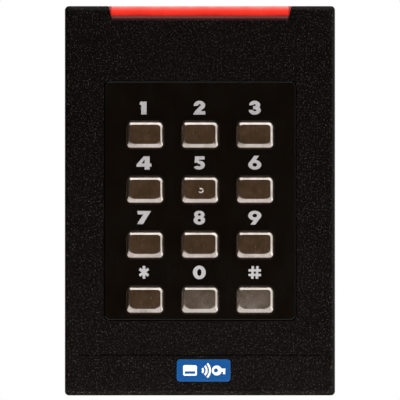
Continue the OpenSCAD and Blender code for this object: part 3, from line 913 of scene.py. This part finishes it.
def build_legend(name, material):
    """The raised print above a key, set a little off its column's middle."""
    x, z = key_centre(name)
    x += (-0.32, -0.2, -0.06)[KEYS.index(name) % 3]
    z += 8.45
    wide, tall = 0.92, 0.97
    shapes = []
    for shape in GLYPHS[name]:
        shapes.append([[(x + wide * px, z + tall * pz) for px, pz in loop] for loop in shape])
    mesh = united("legend_" + name, shapes, 25.96, 26.03)
    piece("legend_" + name, mesh, material, READER, (), 30)


# ------------------------------------------------------------------- badge


def build_badge(material):
    """The badge's plate, with rounded corners and a softened edge."""
    s = Solid()
    cx, cz, w, h = BADGE
    outline = lambda i: rounded_outline(w - 2 * i, h - 2 * i, max(1.0 - i * 0.6, 0.3), 7, cx, cz)
    bevel = quarter(0, 26.12, 0.2, 0.2, 6) + [(0.2 + FLAT_MARGIN, 26.32)]
    rings = [s.flat_ring(outline(0), 25.75)] + [s.flat_ring(outline(i), d) for i, d in bevel]
    s.loft(rings)
    s.cap(rings[0])
    s.cap(rings[-1])
    s.finish("badge_plate", material, replaces=("badge",), sharp=50)


def build_badge_symbol(material):
    """Plain pictures of a card, radio waves and a key, printed in white."""
    cx, cz = BADGE[0], BADGE[1]
    low, high = 26.3, 26.345
    stripe = rounded_outline(3.2, 0.75, 0.1, 2, cx - 4.2, cz - 0.65)
    card = [(rounded_outline(4.3, 3.3, 0.5, 4, cx - 4.2, cz), stripe)]
    waves = []
    for r in (1.35, 2.45, 3.5):
        waves.append((arc_band(cx - 1.2, cz, (r, r), (r - 0.62, r - 0.62), -42, 42, 14),))
    key = [
        (ellipse_outline(cx + 4.1, cz, 1.55, 1.55), ellipse_outline(cx + 3.85, cz, 0.62, 0.62)),
        (stroke(cx + 5.3, cz + 0.1, cx + 6.75, cz + 0.1, 0.95),),
        (stroke(cx + 6.35, cz + 0.1, cx + 6.35, cz - 1.15, 0.75),),
    ]
    for name, shapes in (("badge_card", card), ("badge_waves", waves), ("badge_key", key)):
        mesh = united(name, shapes, low, high)
        piece(name, mesh, material, READER, (), 30)


# ------------------------------------------------------------------ keymat


def build_keymat(material):
    """The silicone sheet, and a dome under each key, shown at rest; the real dome flattens as the key
    goes in.
    """
    s = Solid()
    back, web_front, rib_front = 20.12, 20.9, 22.38
    outline = rounded_outline(PANEL_W + 1, PANEL_H + 2.1, 2)
    outer = [s.flat_ring(outline, d) for d in (back, rib_front)]
    s.skin(*outer)
    outline = rounded_outline(PANEL_W - 2.6, PANEL_H - 1.2, 1)
    rib = [s.flat_ring(outline, d) for d in (rib_front, web_front)]
    s.cap(outer[1], rib[0])
    s.skin(*rib)
    fronts, backs = [], []
    for name in KEYS:
        hole = ellipse_outline(*key_centre(name), 3.65, 3.65, steps=32)
        fronts.append(s.flat_ring(hole, web_front))
        backs.append(s.flat_ring(hole, back))
        s.skin(fronts[-1], backs[-1])
    s.cap(rib[1], *fronts)
    s.cap(outer[0], *backs)
    s.finish("keymat_sheet", material, replaces=("keymat",))
    foot = 20.92
    outside = [(0, 23.33), (2.6, 23.33), (2.95, 23.2), (3.3, 22.4), (4.15, foot)]
    inside = [(3.55, foot), (2.7, 22.0), (2.3, 22.12), (0, 22.12)]
    for name in KEYS:
        x, z = key_centre(name)
        s = Solid()
        s.lathe(x, z, outside + inside, 32)
        dome = s.finish("keymat_dome_" + name, material)
        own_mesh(dome)


# --------------------------------------------------------- carried-over nodes


def soften(node, material, width):
    """Leaves a CAD node's shape as it is, gives it a material and breaks its edges with modifiers."""
    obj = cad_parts[node]
    mesh = obj.data
    mesh.materials.clear()
    mesh.materials.append(material)
    custom = mesh.attributes.get("custom_normal")
    if custom:
        mesh.attributes.remove(custom)
    mesh.shade_smooth()
    weld = obj.modifiers.new("weld", "WELD")
    weld.merge_threshold = 0.004 * MM
    flat = obj.modifiers.new("flat", "DECIMATE")
    flat.decimate_type = "DISSOLVE"
    flat.angle_limit = math.radians(0.6)
    if width:
        bevel = obj.modifiers.new("edges", "BEVEL")
        bevel.limit_method = "ANGLE"
        bevel.angle_limit = math.radians(34)
        bevel.width = width * MM
        bevel.segments = 2
        bevel.use_clamp_overlap = True
    even = obj.modifiers.new("even_normals", "WEIGHTED_NORMAL")
    even.keep_sharp = True


def dress_nodes():
    """Materials and softened edges for the CAD nodes that are shown as they are."""
    steel = zinc_steel("zinc_steel", (0.56, 0.57, 0.59), (0.72, 0.72, 0.73), 0.32)
    screw = plated_metal("screw_steel", (0.4, 0.4, 0.42), (0.7, 0.69, 0.67), 0.3, (1, 1, 0.3))
    dark_screw = plated_metal("dark_screw", (0.16, 0.155, 0.15), (0.34, 0.33, 0.32), 0.34, (1, 1, 0.3))
    black, dark_grey = (0.01, 0.01, 0.01), (0.018, 0.018, 0.018)
    # its last number sets how pale the painted glints are
    cover = grained_plastic("cover_plastic", black, dark_grey, 0.8, 0.05, 0.45, 0.35, 1.5)
    seal = rubber("seal_rubber", (0.02, 0.02, 0.022), (0.06, 0.06, 0.063))
    carbon = rubber("pill_carbon", (0.008, 0.008, 0.008), (0.03, 0.03, 0.03), 0.6)
    green = mottled("terminal_plastic", (0.008, 0.12, 0.035), (0.02, 0.22, 0.07), 0.42, 2.2)
    board = board_laminate("board_laminate")
    brass = plated_metal("standoff_brass", (0.55, 0.36, 0.12), (0.82, 0.62, 0.28), 0.25, (1, 0.1, 1))
    resin = mottled("part_resin", (0.012, 0.012, 0.013), (0.04, 0.04, 0.042), 0.5, 0.9)
    ochre = mottled("capacitor_resin", (0.42, 0.2, 0.03), (0.62, 0.36, 0.08), 0.45, 1.5)
    lamp = mottled("led_resin", (0.75, 0.66, 0.45), (0.95, 0.9, 0.75), 0.25, 0.8, Coat_Weight=0.5)
    glass = mottled("window_glass", (0.05, 0.035, 0.06), (0.09, 0.065, 0.1), 0.14, 1.5, Coat_Weight=1.0)
    looks = {
        "mounting_plate": (steel, 0.14), "security_screw": (dark_screw, 0.06),
        "cover_screws": (screw, 0.06), "board_screws": (screw, 0.06), "terminal_screws": (screw, 0.05),
        "rear_cover": (cover, 0.14), "cover_gasket": (seal, 0.08), "bezel_seal": (seal, 0.05),
        "terminal_seal": (seal, 0.1), "terminal_block": (green, 0.1), "sensor_window": (glass, 0.1),
        "keypad_board": (board, 0.06), "main_board": (board, 0.06), "standoffs": (brass, 0.08),
        "board_connector": (resin, 0.08), "crystal": (screw, 0.1), "sounder": (resin, 0.15),
        "tamper_sensor": (resin, 0.1), "capacitors": (ochre, 0.15), "status_leds": (lamp, 0.1),
        "antenna_coil": (wound_copper("coil_copper"), 0.2),
    }
    for node, (material, width) in looks.items():
        soften(node, material, width)
    lead = 0.8
    for node, side_lead in (("microcontroller", lead), ("reader_chip", lead), ("voltage_regulator", 0.0)):
        lo, hi = cad_mm(node)
        centre = ((lo[0] + hi[0]) / 2, (lo[2] + hi[2]) / 2)
        half = ((hi[0] - lo[0]) / 2 - side_lead, (hi[2] - lo[2]) / 2 - lead)
        soften(node, chip_resin(node + "_resin", centre, half), 0)
    for name in KEYS:
        soften("contact_pill_" + name, carbon, 0.06)


# ------------------------------------------------------------ stage and light


def emitter(name, color, strength):
    """A material that only glows."""
    material = bpy.data.materials.new(name)
    material.use_nodes = True
    nodes, links = material.node_tree.nodes, material.node_tree.links
    nodes.clear()
    glow = nodes.new("ShaderNodeEmission")
    glow.inputs[0].default_value = (*color, 1)
    glow.inputs[1].default_value = strength
    links.new(glow.outputs[0], nodes.new("ShaderNodeOutputMaterial").inputs[0])
    return material


def build_stage():
    """A white surround that only the camera sees, and a pale floor."""
    bm = bmesh.new()
    bmesh.ops.create_uvsphere(bm, u_segments=48, v_segments=24, radius=4.6)
    backdrop = add_object("backdrop", to_mesh(bm, "backdrop"))
    backdrop.data.materials.append(emitter("backdrop_white", (1, 1, 1), 1.0))
    for ray in ("diffuse", "glossy", "transmission", "volume_scatter", "shadow"):
        setattr(backdrop, "visible_" + ray, False)
    bm = bmesh.new()
    bmesh.ops.create_circle(bm, cap_ends=True, segments=96, radius=4.2)
    floor = add_object("floor", to_mesh(bm, "floor"))
    s = Shade("pale_floor", Roughness=0.7, Specular_IOR_Level=0.2, Emission_Strength=0.88)
    s.link(s.ramp(s.noise(60.0, 3), [(0.3, (0.8, 0.8, 0.8)), (0.7, (0.84, 0.84, 0.84))]), "Base Color")
    s.shader.inputs["Emission Color"].default_value = (1, 0.99, 0.98, 1)
    floor.data.materials.append(s.material)
    floor.location = (0, 0, -1.0)
    floor.visible_glossy = False


def softbox(name, location, size, radiance, color=(1, 1, 1), target=(0, -0.026, 0), mirrored=True):
    """A soft rectangular light that faces its target, with a given brightness per area.

    mirrored says whether shiny things reflect it.
    """
    data = bpy.data.lights.new(name, "AREA")
    data.shape = "RECTANGLE"
    data.size, data.size_y = size
    data.energy = radiance * math.pi * size[0] * size[1]
    data.color = color
    obj = add_object(name, data)
    obj.location = location
    obj.rotation_euler = (Vector(target) - Vector(location)).to_track_quat("-Z", "Y").to_euler()
    obj.visible_camera = False
    obj.visible_glossy = mirrored


def dark_flag():
    """A dark card at the left, which the left edges mirror."""
    corners = [(-0.3, y, z) for y, z in ((-0.62, -0.1), (0.0, -0.1), (0.0, 0.3), (-0.62, 0.3))]
    mesh = bpy.data.meshes.new("dark_flag")
    mesh.from_pydata(corners, [], [(0, 1, 2, 3)])
    mesh.materials.append(emitter("flag_cloth", (1, 0.86, 0.78), 0.035))
    flag = add_object("dark_flag", mesh)
    flag.visible_camera = False
    flag.visible_shadow = False


def build_lights():
    """A dim brown room, whose tone the flat key tops mirror, and soft lights round the object."""
    world = bpy.data.worlds.new("room")
    world.use_nodes = True
    room = world.node_tree.nodes["Background"]
    room.inputs[0].default_value = (0.0776, 0.0432, 0.0192, 1)
    room.inputs[1].default_value = 1.0
    bpy.context.scene.world = world
    softbox("top_box", (0.08, -0.16, 0.42), (0.8, 0.6), 1.6)
    softbox("right_box", (0.42, -0.15, 0.0), (0.45, 0.5), 1.15)
    softbox("low_box", (0.0, -0.155, -0.18), (1.0, 0.22), 0.86, (1, 0.98, 1.0))
    warm, low_target = (1, 0.97, 0.93), (0, -0.026, -0.06)
    softbox("low_fill", (0.0, -0.09, -0.1), (0.3, 0.05), 2.55, warm, low_target, mirrored=False)
    dark_flag()
    softbox("back_box", (-0.35, 0.9, 0.5), (0.8, 0.6), 2.5)
    softbox("back_wall", (0.55, 1.0, 0.0), (1.7, 1.3), 0.6)


def build_camera():
    """A long lens, almost square to the face and level with its middle."""
    data = bpy.data.cameras.new("camera")
    data.lens = 600
    data.sensor_width = 36
    data.clip_start, data.clip_end = 0.01, 20
    camera = add_object("camera", data)
    # the picture is this wide at the face
    front_width = 0.124
    distance = front_width / data.sensor_width * data.lens
    turn = math.radians(0.35)
    aim = Vector((0.00008, -FRONT * MM / 2, 0.00023))
    away = Vector((-math.sin(turn), -math.cos(turn), 0))
    camera.location = aim + away * (distance + FRONT * MM / 2)
    camera.rotation_euler = (math.radians(90), 0, -turn)
    bpy.context.scene.camera = camera


# ---------------------------------------------------------------- assembly

# the bar's spill starts at the recess's lower edge and is this wide on each side
SPILL = (RECESS_FLOOR, 27.6)
shell_plastic = grained_plastic(
    "housing_plastic",
    (0.0012, 0.0008, 0.0006),
    (0.003, 0.0026, 0.0023),
    cell_mm=0.43,
    relief=0.05,
    rough=0.4,
    specular=0.11,
    # how many times as pale as the light tone the painted glints are
    glint_gain=16.0,
    spill=SPILL,
)
build_housing(shell_plastic)
build_housing_posts(shell_plastic)
build_light_bar(lit_lens("light_bar_lens", BAR_Z, BODY_H / 2))
build_panel(satin_plastic("panel_plastic", (0.0013, 0.0009, 0.0006), (0.0022, 0.0016, 0.0012), 0.22, 0.4))
BRUSHED_UP = (1, 1, 0.12)
key_metal = plated_metal("key_metal", (0.42, 0.385, 0.35), (0.74, 0.685, 0.64), 0.2, BRUSHED_UP, 0.0015)
# a paler copy of the key metal: painted reflection, for the keys whose faces mirror a brighter part of
# the room
sheen_painted_metal = plated_metal(
    "sheen_painted_key_metal", (0.54, 0.5, 0.46), (0.61, 0.565, 0.53), 0.22, BRUSHED_UP, 0.02, haze_and_sheen=0.08
)
ink = printed_ink("legend_ink", (0.42, 0.41, 0.425), (0.51, 0.5, 0.515))
for key_name in KEYS:
    build_key(key_name, sheen_painted_metal if key_name in SHEEN_PAINTED_KEYS else key_metal)
    build_legend(key_name, ink)
build_badge(badge_enamel("badge_enamel", BADGE[:2], (BADGE[2] / 2, BADGE[3] / 2)))
build_badge_symbol(printed_ink("badge_ink", (0.7, 0.73, 0.76), (0.82, 0.84, 0.87)))
build_keymat(rubber("keymat_silicone", (0.1, 0.1, 0.105), (0.17, 0.17, 0.175)))
dress_nodes()
build_stage()
build_lights()
build_camera()
bpy.context.scene.view_settings.view_transform = "Standard"
